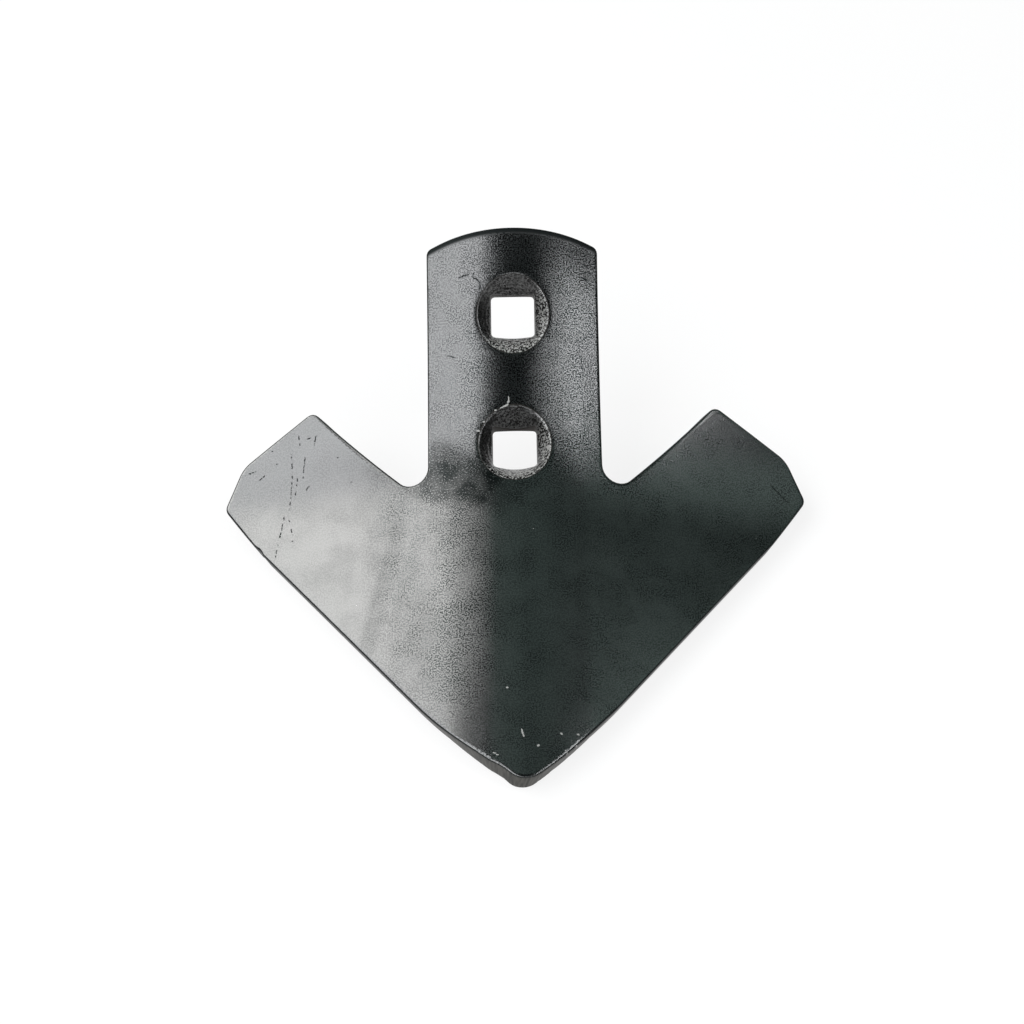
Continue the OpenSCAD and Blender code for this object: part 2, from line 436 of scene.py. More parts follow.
@dataclass(frozen=True)
class Relief:
    """Unevenness that pressing, cutting and wear leave on the plate, in blank millimetres."""

    sizes: SweepSizes
    outline: BlankOutline
    wave_l: float = 22.0
    wave_h: float = 0.05
    end_roll_l: float = 2.2
    end_roll_h: float = 0.12
    tip_reach: float = 18.0
    tip_slide: float = 1.2
    sole_slide: float = 0.4
    worn_l: float = 1.3
    worn_depth: float = 0.16
    press_marks: tuple[PressMark, ...] = (
        PressMark((-30.5, 81.5), (-35.5, 62.0), 3.5, -0.05),
        PressMark((-35.5, 62.0), (-39.0, 48.5), 3.5, -0.03),
    )
    nicks: tuple[Nick, ...] = (
        Nick((-6.0, 11.5), 4.0, 0.3),
        Nick((-69.0, 83.0), 2.0, 0.4),
    )

    def settle(self, point: Vector, edge: float) -> Vector:
        """Moves a point of the flat plate to where pressing and wear leave it.

        Args:
            point: Blank point u, s and w.
            edge: How far the point belongs to the cut edge, from 0 to 1.

        Returns:
            The moved blank point.
        """
        place = point.xy
        upper = 1.0 + point.z / self.sizes.plate_t
        near_tip = ease(1.0 - (place.y - self.outline.nose_s) / self.tip_reach)
        rise = self.wave_h * noise.noise(place.to_3d() / self.wave_l)
        rise += sum(mark.height(place) for mark in self.press_marks)
        rise -= upper * self.end_roll_h * self.end_share(place) ** 2
        slide = near_tip * (self.sole_slide + upper * (self.tip_slide - self.sole_slide))
        bite = sum(nick.bite(place) for nick in self.nicks)
        bite += near_tip * edge * self.worn_depth * abs(noise.noise(point / self.worn_l))
        return point + Vector((slide, 0.0, rise)) + bite * self._inward(place).to_3d()

    def end_share(self, place: Vector) -> float:
        """Works out how near a point is to the sheared end of the tang.

        Args:
            place: Blank point u and s.

        Returns:
            1 at the end, falling to 0 where its rolled edge starts.
        """
        if place.y < self.outline.corner_centre.y - self.end_roll_l:
            return 0.0
        inside = self.sizes.tang_end_r - (place - self.outline.end_centre).length
        return max(0.0, 1.0 - inside / self.end_roll_l)

    def _inward(self, place: Vector) -> Vector:
        """Unit vector from the nearer cutting edge into the plate."""
        edge_normal = self.outline.edge_way.orthogonal()
        side = clamp(place.x / self.sizes.nose_tip_r, -1.0)
        return Vector((side * edge_normal.x, edge_normal.y)).normalized()


@dataclass(frozen=True)
class BoltSeat:
    """A square bolt hole with a round countersink, cut square to the tang."""

    sizes: SweepSizes
    press: Press
    s: float
    lip: float = 0.6
    neck: float = 0.35
    burr: float = 0.5
    face_passes: int = 4
    rim_passes: int = 6

    def frame(self) -> Matrix:
        """Matrix from the hole's own axes to the pressed plate, in millimetres."""
        centre = Matrix.Translation(self.press.place(0, self.s, 0))
        return centre @ Matrix.Rotation(self.press.tang_turn(self.s), 4, "X")

    def local(self, flat: Vector) -> Vector:
        """Blank point in the hole's own axes."""
        return self.frame().inverted() @ self.press.place(*flat)

    def blank(self, point: Vector) -> Vector:
        """Point in the hole's own axes as a blank point."""
        return self.press.flatten(self.frame() @ point)

    def on_face(self, way: Vector, radius: float, depth: float) -> Vector:
        """Finds the blank point at a radius, at a depth below the upper face.

        Args:
            way: Unit vector out from the hole's axis.
            radius: Distance from that axis.
            depth: Depth below the upper face.

        Returns:
            The blank point.
        """
        point = (way * radius).to_3d() - depth * UP
        for _ in range(self.face_passes):
            point.z -= self.blank(point).z + depth
        return self.blank(point)

    def rim(self, way: Vector) -> float:
        """Radius at which the countersink meets the crowned face.

        Args:
            way: Unit vector out from the hole's axis.

        Returns:
            The radius.
        """
        radius = self.sizes.sink_d / 2
        for _ in range(self.rim_passes):
            radius = self.local(self.on_face(way, radius, 0)).z + self.sink_depth()
        return radius

    def sink_depth(self) -> float:
        """Depth of the countersink's point below the ridge."""
        radius = self.sizes.sink_d / 2
        crown = self.sizes.crown_r
        return radius + crown - math.sqrt(crown**2 - radius**2)

    def square(self, way: Vector) -> float:
        """Radius of the square hole, whose corners are rounded.

        Args:
            way: Unit vector out from the hole's axis.

        Returns:
            The radius.
        """
        half = self.sizes.hole_side / 2
        inner = half - self.sizes.hole_corner_r
        long, short = sorted((abs(way.x), abs(way.y)), reverse=True)
        if half / long * short <= inner:
            return half / long
        reach = (long + short) * inner
        return reach + math.sqrt(reach**2 - 2 * inner**2 + self.sizes.hole_corner_r**2)

    def on_cone(self, way: Vector, radius: float, drop: float = 0.0) -> Vector:
        """Blank point on the countersink, or a drop below it."""
        return self.blank((way * radius).to_3d() + UP * (radius - drop - self.sink_depth()))

    def rings(self) -> list[tuple[SeatWall, Callable[[Vector, float], Vector]]]:
        """Lists the rings of the hole's wall from the upper face to the underside.

        Returns:
            The wall of each ring, and a function from a way out and the last radius to a blank point.
        """
        rim = self.rim
        square = self.square
        lip = self.lip
        burr = self.burr
        sole = self.sizes.plate_t
        walls = {
            SeatWall.FACE: (
                lambda way, last: self.on_face(way, (last + rim(way)) / 2, 0),
                lambda way, last: self.on_face(way, rim(way) + lip, 0),
            ),
            SeatWall.CONE: (
                lambda way, last: self.on_face(way, rim(way) + lip / 4, lip / 4),
                lambda way, last: self.on_cone(way, rim(way) - lip / 2),
                lambda way, last: self.on_cone(way, (rim(way) + square(way)) / 2),
                lambda way, last: self.on_cone(way, square(way) + self.neck),
            ),
            SeatWall.BORE: (
                lambda way, last: self.on_cone(way, square(way), self.neck),
                lambda way, last: self.on_face(way, square(way), sole - burr),
                lambda way, last: self.on_face(way, square(way) + burr / 4, sole - burr / 4),
                lambda way, last: self.on_face(way, square(way) + burr, sole),
            ),
        }
        return [(wall, ring) for wall, rings in walls.items() for ring in rings]


@dataclass
class PressedPlate:
    """The sweep's one piece: a plate cut to its blank, punched, pressed and bent."""

    sizes: SweepSizes
    press: Press
    outline: BlankOutline
    relief: Relief
    rim_r: float = 0.5
    rim_steps: int = 3
    margin_w: float = 0.6
    margin_steps: int = 2
    # Spreads the dull, darkened rim over the tang's rolled end: wear and painted shade
    end_wear_and_shade: float = 0.8
    wall_rows: int = 4
    outline_step: float = 1.0
    cells_per_pitch: int = 35
    seat_cells: int = 12
    most_corners: int = 4
    name: str = "sweep_plate"
    seats: list[BoltSeat] = field(default_factory=list)

    def __post_init__(self) -> None:
        """Sets the two bolt seats along the tang."""
        sizes = self.sizes
        places = (sizes.lower_hole, sizes.lower_hole + sizes.hole_pitch)
        self.seats = [BoltSeat(sizes, self.press, s) for s in places]

    def build(self) -> bpy.types.Object:
        """Makes the plate's mesh.

        Returns:
            The plate's object, at the origin of the frame.
        """
        mesh = bmesh.new()
        mesh.verts.layers.float_vector.new(Layer.BLANK.value)
        mesh.verts.layers.float.new(Layer.CUT_EDGE.value)
        mesh.verts.layers.float.new(Layer.BOLT_SEAT.value)
        self.outline.draw(mesh, self.outline_step)
        self._round_rim(mesh)
        self._slice(mesh)
        self._clear_seats(mesh)
        self._add_underside(mesh)
        for seat in self.seats:
            self._line_seat(mesh, seat)
        self._bend(mesh)
        crowded = [face for face in mesh.faces if len(face.verts) > self.most_corners]
        bmesh.ops.triangulate(mesh, faces=crowded)
        bmesh.ops.recalc_face_normals(mesh, faces=mesh.faces[:])
        plate = add_piece(self.name, mesh)
        plate.data.shade_smooth()
        plate.modifiers.new("even_normals", "WEIGHTED_NORMAL")
        return plate

    def dress(self, plate: bpy.types.Object, paint: "BlackPaint") -> None:
        """Paints the plate."""
        plate.data.materials.append(PaintCoat(paint, self.sizes).material())

    def _round_rim(self, mesh: BMesh) -> None:
        """Rolls the rim of the upper face over, as a blanking tool leaves it.

        Args:
            mesh: Mesh that holds the outline's face.
        """
        edge = mesh.verts.layers.float[Layer.CUT_EDGE.value]
        bmesh.ops.translate(mesh, vec=-self.rim_r * UP, verts=mesh.verts[:])
        for vert in mesh.verts:
            vert[edge] = 1.0
        inner = mesh.faces[:]
        for step in range(self.rim_steps):
            start, end = (math.pi / 2 * k / self.rim_steps for k in (step, step + 1))
            bmesh.ops.inset_individual(
                mesh,
                faces=inner,
                thickness=self.rim_r * (math.cos(start) - math.cos(end)),
                depth=self.rim_r * (math.sin(end) - math.sin(start)),
                use_even_offset=True,
            )
            for vert in inner[0].verts:
                vert[edge] = 1.0 - math.sin(end)
        for _ in range(self.margin_steps):
            bmesh.ops.inset_individual(
                mesh, faces=inner, thickness=self.margin_w, depth=0.0, use_even_offset=True
            )

    def _slice(self, mesh: BMesh) -> None:
        """Cuts the face into small cells that can follow the bends.

        Args:
            mesh: Mesh of the flat upper face.
        """
        cell = self.sizes.hole_pitch / self.cells_per_pitch
        wide = int(self.outline.wing_tip.x / cell) + 1
        low = int((self.outline.nose_s - self.sizes.lower_hole) / cell) - 1
        high = int((self.sizes.blank_l - self.sizes.lower_hole) / cell) + 1
        cuts = [(Vector((i * cell, 0, 0)), Vector((1, 0, 0))) for i in range(-wide, wide + 1)]
        for i in range(low, high + 1):
            cuts.append((Vector((0, self.sizes.lower_hole + i * cell, 0)), Vector((0, 1, 0))))
        for place, way in cuts:
            bmesh.ops.bisect_plane(
                mesh, geom=whole(mesh), dist=SLICE_GAP, plane_co=place, plane_no=way
            )

    def _clear_seats(self, mesh: BMesh) -> None:
        """Takes a square of cells out round each bolt seat.

        Args:
            mesh: Mesh of the flat upper face.
        """
        half = self._seat_half()
        for seat in self.seats:
            inside = []
            for face in mesh.faces:
                place = face.calc_center_median()
                if max(abs(place.x), abs(place.y - seat.s)) < half:
                    inside.append(face)
            bmesh.ops.delete(mesh, geom=inside, context="FACES")

    def _seat_half(self) -> float:
        """Half the width of the square of cells round a bolt seat."""
        return self.seat_cells * self.sizes.hole_pitch / self.cells_per_pitch

    def _add_underside(self, mesh: BMesh) -> None:
        """Mirrors the upper face to the underside and closes the cut edge between them.

        Args:
            mesh: Mesh of the flat upper face.
        """
        middle = self.sizes.plate_t / 2 * UP
        bmesh.ops.translate(mesh, vec=middle, verts=mesh.verts[:])
        bmesh.ops.mirror(mesh, geom=whole(mesh), axis="Z", merge_dist=0)
        bmesh.ops.translate(mesh, vec=-middle, verts=mesh.verts[:])
        edge = mesh.verts.layers.float[Layer.CUT_EDGE.value]
        row = [
            item
            for item in mesh.edges
            if item.is_boundary and all(v[edge] == 1.0 and v.co.z > -middle.z for v in item.verts)
        ]
        drop = (self.sizes.plate_t - 2 * self.rim_r) / self.wall_rows
        for _ in range(self.wall_rows):
            row, points = grow(mesh, row)
            bmesh.ops.translate(mesh, vec=-drop * UP, verts=points)
        self._weld(mesh)

    @staticmethod
    def _weld(mesh: BMesh) -> None:
        """Joins the points that lie in the same place."""
        bmesh.ops.remove_doubles(mesh, verts=mesh.verts[:], dist=WELD_GAP)

    def _line_seat(self, mesh: BMesh, seat: BoltSeat) -> None:
        """Builds the countersink and the square wall of one bolt hole.

        Args:
            mesh: Closed plate with a square opening in each face.
            seat: The bolt seat.
        """
        mark = mesh.verts.layers.float[Layer.BOLT_SEAT.value]
        start = mesh.verts.layers.float_vector[Layer.BLANK.value]
        ring = []
        for edge in mesh.edges:
            place = (edge.verts[0].co + edge.verts[1].co) / 2
            near = abs(place.y - seat.s) < self._seat_half() + self.rim_r
            if edge.is_boundary and near and place.z > -self.rim_r:
                ring.append(edge)
        for vert in {vert for edge in ring for vert in edge.verts}:
            vert[start] = vert.co
        for wall, place in seat.rings():
            ring, points = grow(mesh, ring)
            for vert in points:
                way = seat.local(vert[start]).xy.normalized()
                vert.co = place(way, seat.local(vert.co).xy.length)
                vert[mark] = wall.value
        _, points = grow(mesh, ring)
        for vert in points:
            vert.co = vert[start] - self.sizes.plate_t * UP
            vert[mark] = SeatWall.FACE.value
        self._weld(mesh)

    def _bend(self, mesh: BMesh) -> None:
        """Presses the flat plate to its shape and lays it at rest in the frame.

        Args:
            mesh: The whole plate, still flat.
        """
        layer = mesh.verts.layers.float_vector[Layer.BLANK.value]
        edge = mesh.verts.layers.float[Layer.CUT_EDGE.value]
        rest = self.press.rest(self.outline.nose_s)
        for vert in mesh.verts:
            vert[layer] = vert.co
            if vert.co.z > -self.rim_r:
                vert[edge] = max(vert[edge], self.end_wear_and_shade * self.relief.end_share(vert.co.xy))
            vert.co = rest @ self.press.place(*self.relief.settle(vert.co, vert[edge]))


class Signal:
    """A number that varies over a surface, with arithmetic that adds Math nodes."""

    def __init__(self, tree: "ShaderTree", socket: bpy.types.NodeSocket) -> None:
        """Wraps an output socket of a shader tree."""
        self.tree = tree
        self.socket = socket

    def _math(self, operation: str, first: Any, second: Any) -> "Signal":
        """Adds one Math node.

        Args:
            operation: Name of the operation.
            first: Signal or number.
            second: Signal or number.

        Returns:
            The result.
        """
        settings = {"operation": operation}
        return self.tree.signal("ShaderNodeMath", settings, {0: first, 1: second})

    def __add__(self, other: Any) -> "Signal":
        """This plus another."""
        return self._math("ADD", self, other)

    def __radd__(self, other: Any) -> "Signal":
        """Another plus this."""
        return self._math("ADD", other, self)

    def __sub__(self, other: Any) -> "Signal":
        """This less another."""
        return self._math("SUBTRACT", self, other)

    def __rsub__(self, other: Any) -> "Signal":
        """Another less this."""
        return self._math("SUBTRACT", other, self)

    def __mul__(self, other: Any) -> "Signal":
        """This times another."""
        return self._math("MULTIPLY", self, other)

    def __rmul__(self, other: Any) -> "Signal":
        """Another times this."""
        return self._math("MULTIPLY", other, self)

    def or_more(self, *others: Any) -> "Signal":
        """The largest of this and others."""
        return reduce(lambda most, other: self._math("MAXIMUM", most, other), others, self)

    def or_less(self, other: Any) -> "Signal":
        """The smaller of this and another."""
        return self._math("MINIMUM", self, other)

    def sine(self) -> "Signal":
        """Sine of this, taken in radians."""
        return self._math("SINE", self, 0.0)

    def step(self, low: float, high: float) -> "Signal":
        """Smooth step from 0 at one level to 1 at another.

        Args:
            low: Level at which the step is 0.
            high: Level at which the step is 1.

        Returns:
            The step.
        """
        settings = {"interpolation_type": "SMOOTHSTEP"}
        return self.tree.signal("ShaderNodeMapRange", settings, {0: self, 1: low, 2: high})

    def blend(self, first: Any, second: Any) -> "Signal":
        """Goes from one number to another as this goes from 0 to 1.

        Args:
            first: Signal or number where this is 0.
            second: Signal or number where this is 1.

        Returns:
            The blended number.
        """
        return first + (second - first) * self


class ShaderTree:
    """Node tree of one material, built from expressions."""

    def __init__(self, name: str) -> None:
        """Starts an empty material.

        Args:
            name: Name of the material.
        """
        self.material = bpy.data.materials.new(name)
        self.material.use_nodes = True
        self.material.node_tree.nodes.clear()

    def node(
        self, kind: str, settings: dict[str, Any], sockets: dict[Any, Any]
    ) -> bpy.types.Node:
        """Adds one node.

        Args:
            kind: Type of the node.
            settings: Attributes of the node, which are set first.
            sockets: Values, signals or output sockets, by input name or number.

        Returns:
            The node.
        """
        tree = self.material.node_tree
        node = tree.nodes.new(kind)
        for name, value in settings.items():
            setattr(node, name, value)
        for name, value in sockets.items():
            source = value.socket if isinstance(value, Signal) else value
            if isinstance(source, bpy.types.NodeSocket):
                tree.links.new(source, node.inputs[name])
            else:
                node.inputs[name].default_value = source
        return node

    def signal(
        self, kind: str, settings: dict[str, Any], sockets: dict[Any, Any], output: Any = 0
    ) -> Signal:
        """Adds one node for the number that it gives.

        Args:
            kind: Type of the node.
            settings: Attributes of the node.
            sockets: Values, signals or output sockets, by input name or number.
            output: Name or number of the output.

        Returns:
            The number.
        """
        return Signal(self, self.node(kind, settings, sockets).outputs[output])

    def vector(self, operation: str, sockets: dict[Any, Any]) -> bpy.types.NodeSocket:
        """Adds one Vector Math node.

        Args:
            operation: Name of the operation.
            sockets: Values, signals or output sockets, by input name or number.

        Returns:
            The output with the result, which is a vector or a number.
        """
        node = self.node("ShaderNodeVectorMath", {"operation": operation}, sockets)
        number = operation in ("DOT_PRODUCT", "DISTANCE")
        return node.outputs["Value" if number else "Vector"]

    def mixed(self, share: Any, first: Any, second: Any) -> bpy.types.NodeSocket:
        """Mixes two colours.

        Args:
            share: Signal or number that says how much of the second colour shows.
            first: Colour or output socket.
            second: Colour or output socket.

        Returns:
            The output with the mixed colour.
        """
        node = self.node("ShaderNodeMix", {"data_type": "RGBA"}, {0: share, 6: first, 7: second})
        return node.outputs[2]


@dataclass(frozen=True)
class Mottle:
    """A random grain in the paint: its fineness, its octaves and the levels that it fades in over."""

    per_mm: float
    detail: float
    fade: Span

    def noise(self, tree: ShaderTree, place: bpy.types.NodeSocket) -> Signal:
        """Noise of the grain at blank coordinates, about 0.5."""
        sockets = {"Vector": place, "Scale": self.per_mm, "Detail": self.detail}
        return tree.signal("ShaderNodeTexNoise", {}, sockets)

    def cover(self, tree: ShaderTree, place: bpy.types.NodeSocket) -> Signal:
        """Where the grain shows at blank coordinates, from 0 to 1."""
        return self.noise(tree, place).step(*self.fade)


@dataclass(frozen=True)
class PaintMarks:
    """Marks of one kind in the paint: straight strokes and dots at blank points, in millimetres."""

    half_w: float
    strokes: tuple[Stroke, ...]
    dots: tuple[Place, ...] = ()
    dot_l: float = 0.25
    core_share: float = 1 / 3

    def cover(self, tree: ShaderTree, blank: bpy.types.NodeSocket) -> Signal:
        """Works out where the marks lie.

        Args:
            tree: Shader tree that takes the nodes.
            blank: Blank coordinates.

        Returns:
            1 in the middle of a stroke and 0 away from it.
        """
        short = tuple(((u, s), (u + self.dot_l, s)) for u, s in self.dots)
        reaches = [self._away(tree, blank, stroke) for stroke in self.strokes + short]
        return reduce(Signal.or_less, reaches).step(self.half_w, self.core_share * self.half_w)

    @staticmethod
    def _away(tree: ShaderTree, blank: bpy.types.NodeSocket, stroke: Stroke) -> Signal:
        """Works out how far away a stroke is.

        Args:
            tree: Shader tree that takes the nodes.
            blank: Blank coordinates.
            stroke: The two ends of the stroke.

        Returns:
            The distance in millimetres.
        """
        start, end = (Vector(place).to_3d() for place in stroke)
        along = end - start
        reach = tree.vector("SUBTRACT", {0: blank, 1: start})
        share = tree.vector("DOT_PRODUCT", {0: reach, 1: along / along.length_squared})
        held = tree.signal("ShaderNodeClamp", {}, {0: share})
        foot = tree.vector("SCALE", {0: along, "Scale": held})
        return Signal(tree, tree.vector("DISTANCE", {0: reach, 1: foot}))


@dataclass(frozen=True)
class BlackPaint:
    """Glossy black paint with a fine orange-peel grain, worn at the nose.

    Places, depths and heights are in blank millimetres. A span is where something fades in from
    nothing, at its first number, to the full, at its second.
    """

    name: str = "black_paint"

    # Colours and gloss
    colour: Colour = (0.0024, 0.0044, 0.0044)
    steel_colour: Colour = (0.10, 0.098, 0.09)
    # Near-black, hardly reflecting bore walls: painted shade inside the square holes
    bore_shade_colour: Colour = (0.020, 0.018, 0.016)
    seat_colour: Colour = (0.013, 0.013, 0.0125)
    # Pale colour of the chips and the dust, which also paints highlights in the countersinks
    chip_and_glint_colour: Colour = (0.28, 0.28, 0.27)
    roughness: float = 0.07
    smudge_roughness: float = 0.05
    dull_roughness: float = 0.5
    seat_roughness: float = 0.07
    specular: float = 1.0
    haze: float = 0.6
    haze_roughness: float = 0.28

    # Walls, by the values that the mesh carries, and the depth of the upper face
    cone_level: Span = (0.6, 0.9)
    bore_level: Span = (0.1, 0.4)
    rim_level: Span = (0.05, 0.5)
    wall_level: Span = (0.6, 0.9)
    face_depth: Span = (-0.9, -0.4)

    # Regions of the plate
    left_wing: Span = (-30.0, -44.0)
    right_wing: Span = (30.0, 44.0)
    right_flank: Span = (-2.0, 10.0)
    tang_start: Span = (84.0, 98.0)
    tang_right: Span = (-16.0, -6.0)
    ridge_left: Span = (-24.0, -16.0)
    ridge_right: Span = (-2.0, -10.0)
    ridge_front: Span = (22.0, 50.0)
    neck_slant: float = 0.35
    neck_front: Span = (77.0, 85.0)
    neck_back: Span = (98.0, 90.0)
    neck_left: Span = (-36.0, -20.0)
    neck_right: Span = (6.0, -8.0)
    nose_wall: Span = (38.0, 22.0)
    left_edge: Span = (-4.0, -10.0)
    left_edge_end: Span = (88.0, 70.0)
    left_edge_wear: float = 0.6

    # Grain: the noise of each kind, its height, and how dark its pits are.
    # The peel's fade breaks the scratches up, and the lumps' fade picks out high spots for painted
    # highlights.
    peel: Mottle = Mottle(2.6, 2.0, (0.32, 0.46))
    lumps: Mottle = Mottle(2.1, 2.0, (0.48, 0.56))
    smudges: Mottle = Mottle(0.05, 4.0, (0.35, 0.7))
    blotches: Mottle = Mottle(0.2, 3.0, (0.3, 0.7))
    clouds: Mottle = Mottle(0.07, 4.0, (0.36, 0.64))
    streaks: Mottle = Mottle(1.6, 3.0, (0.3, 0.7))
    streak_squash: float = 0.12
    streak_least: float = 0.4
    fine_h: float = 0.014
    coarse_h: float = 0.045
    ridge_coarse: float = 0.7
    flank_coarse: float = 0.35
    pit_level: Span = (0.57, 0.43)
    # Extra pits in the neck's band, which paint the shade of its bend
    neck_shade_pits: float = 0.12
    wing_dark: float = 0.2
    fine_dark: float = 0.5
    coarse_dark: float = 0.8
    seat_dark: float = 0.74
    blotch_least: float = 0.75
    blotch_most: float = 1.15
    cloud_middle: float = 0.35
    cloud_dark: float = 0.2
    tang_cloud_dark: float = 0.05
    # How dark the painted shade along the dents of the press marks is
    dent_shade_dark: float = 0.14
    # How far Metallic darkens the rims, as painted shade along the edges
    body_rim_dark: float = 0.5
    tang_rim_dark: float = 0.9
    wing_rim_dark: float = 0.4

    # Turning marks, and painted highlights as bright specks in the countersinks
    turning_pitch: float = 0.9
    turning_h: float = 0.02
    seat_grain_h: float = 0.12
    seat_change_l: float = 0.1
    glint_front: Span = (-5.0, -8.0)
    glint_right: Span = (5.5, 8.0)
    glint_side: float = 0.7
    glint: float = 0.95

    # Dust, scratches and chips, and painted shade along the dents of the press marks
    dust_per_mm: float = 0.2
    dust_cell_share: float = 0.03
    dust_chance: Span = (0.3, 1.0)
    breaks_per_mm: float = 0.9
    break_level: Span = (0.44, 0.52)
    wander: float = 1.0
    grooves: PaintMarks = PaintMarks(
        0.24,
        (
            ((-62.5, 90.5), (-63.5, 85.5)),
            ((-64.0, 83.5), (-64.5, 80.0)),
            ((-61.0, 89.5), (-60.0, 85.5)),
            ((-60.5, 101.0), (-61.0, 92.0)),
            ((-59.0, 100.5), (-59.5, 96.0)),
            ((-57.0, 105.5), (-57.5, 100.0)),
            ((-61.0, 106.5), (-60.5, 102.0)),
            ((-55.5, 98.0), (-57.5, 95.5)),
            ((-59.0, 111.0), (-58.5, 108.5)),
            ((-57.0, 110.0), (-55.5, 110.0)),
            ((-54.0, 110.5), (-54.5, 108.0)),
            ((-74.0, 103.0), (-71.0, 103.5)),
            ((-70.0, 101.0), (-68.5, 102.0)),
            ((-14.0, 147.5), (-11.5, 148.0)),
            ((-10.0, 148.5), (-10.5, 147.5)),
            ((-10.5, 147.5), (-8.5, 146.0)),
            ((-8.5, 146.0), (-8.5, 144.0)),
            ((-17.5, 127.0), (-15.5, 126.5)),
            ((18.5, 150.5), (20.0, 150.0)),
            ((18.0, 148.0), (20.0, 148.5)),
            ((18.0, 147.0), (20.0, 146.5)),
            ((70.0, 98.0), (74.5, 94.0)),
        ),
        (
            (-61.0, 103.0),
            (-65.0, 104.5),
            (-66.5, 108.0),
            (-48.0, 104.0),
            (-44.0, 97.0),
            (-60.0, 84.0),
            (-13.0, 151.5),
        ),
    )
    # Painted shade: soft dark bands along the dents of the press marks on the left flank
    dent_shades: PaintMarks = PaintMarks(
        3.4,
        (
            ((-30.5, 81.5), (-35.5, 62.0)),
            ((-35.5, 62.0), (-39.0, 48.5)),
        ),
    )
    chips: PaintMarks = PaintMarks(
        0.26,
        (
            ((-1.5, 115.0), (-1.5, 113.5)),
            ((-1.5, 113.0), (-3.5, 112.0)),
            ((10.0, 16.5), (10.5, 15.5)),
            ((0.0, 22.0), (0.5, 20.0)),
        ),
        (
            (-5.0, 111.5),
            (-8.0, 108.5),
            (-9.5, 106.0),
            (-2.0, 128.5),
            (0.5, 128.5),
            (3.5, 129.0),
            (6.0, 131.0),
            (-4.5, 95.5),
            (-1.5, 94.5),
            (1.5, 94.5),
            (4.5, 95.5),
            (7.0, 98.0),
            (3.5, 17.5),
            (-6.5, 15.5),
            (-7.0, 16.0),
            (13.0, 18.0),
            (13.5, 21.0),
            (9.5, 21.0),
            (-3.0, 33.0),
        ),
    )


